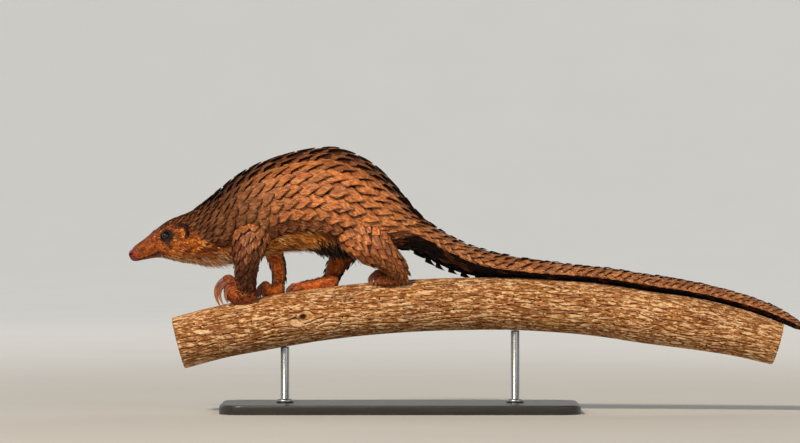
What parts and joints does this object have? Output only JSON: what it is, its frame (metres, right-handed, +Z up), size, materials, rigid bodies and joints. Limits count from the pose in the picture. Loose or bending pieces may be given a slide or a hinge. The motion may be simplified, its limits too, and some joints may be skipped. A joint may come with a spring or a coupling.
{
  "type": "tree pangolin on a branch, still display model",
  "caption": "Life-size still model of a tree pangolin walking along a cut branch, scaled from crown to tail tip, held on a flat base by two rods.",
  "frame": {"origin": "centre of the underside of the display base", "axes": "+Z up, the animal faces -X along the branch, its left side at -Y"},
  "size_m": [0.8681, 0.19, 0.3393],
  "materials": {
    "scales": "horn scales, brown with darker roots and paler worn edges, faint lengthwise ridges",
    "furred_skin": "orange brown skin with short fur, paler on cheeks, throat and belly",
    "ear_skin": "bare orange brown skin",
    "foot_skin": "bare wrinkled orange brown skin with sparse short hair",
    "claws": "worn horn, satin",
    "eyes": "wet dark brown, polished",
    "perch_bark": "rough furrowed bark with sawn ends",
    "stand_base": "black stained hardwood, satin",
    "stand_rods": "brushed"
  },
  "bodies": {
    "root": {"head": "furred_skin", "ear_left": "ear_skin", "ear_right": "ear_skin", "neck": "scales", "shoulders": "scales", "back": "scales", "rump": "scales", "tail_1": "scales", "tail_2": "scales", "tail_3": "scales", "tail_4": "scales", "tail_5": "scales", "tail_6": "scales", "foreleg_left_upper": "scales", "foreleg_left_lower": "scales", "hindleg_left_upper": "scales", "hindleg_left_lower": "scales", "foreleg_right_upper": "scales", "foreleg_right_lower": "scales", "hindleg_right_upper": "scales", "hindleg_right_lower": "scales", "forefoot_left": "foot_skin", "hindfoot_left": "foot_skin", "forefoot_right": "foot_skin", "hindfoot_right": "foot_skin", "claw_forefoot_left_1": "claws", "claw_forefoot_left_2": "claws", "claw_forefoot_left_3": "claws", "claw_forefoot_left_4": "claws", "claw_forefoot_left_5": "claws", "claw_hindfoot_left_1": "claws", "claw_hindfoot_left_2": "claws", "claw_hindfoot_left_3": "claws", "claw_hindfoot_left_4": "claws", "claw_hindfoot_left_5": "claws", "claw_forefoot_right_1": "claws", "claw_forefoot_right_2": "claws", "claw_forefoot_right_3": "claws", "claw_forefoot_right_4": "claws", "claw_forefoot_right_5": "claws", "claw_hindfoot_right_1": "claws", "claw_hindfoot_right_2": "claws", "claw_hindfoot_right_3": "claws", "claw_hindfoot_right_4": "claws", "claw_hindfoot_right_5": "claws", "eye_left": "eyes", "eye_right": "eyes", "perch": "perch_bark", "stand_base": "stand_base", "stand_rod_front": "stand_rods", "stand_rod_rear": "stand_rods"}
  },
  "joints": []
}
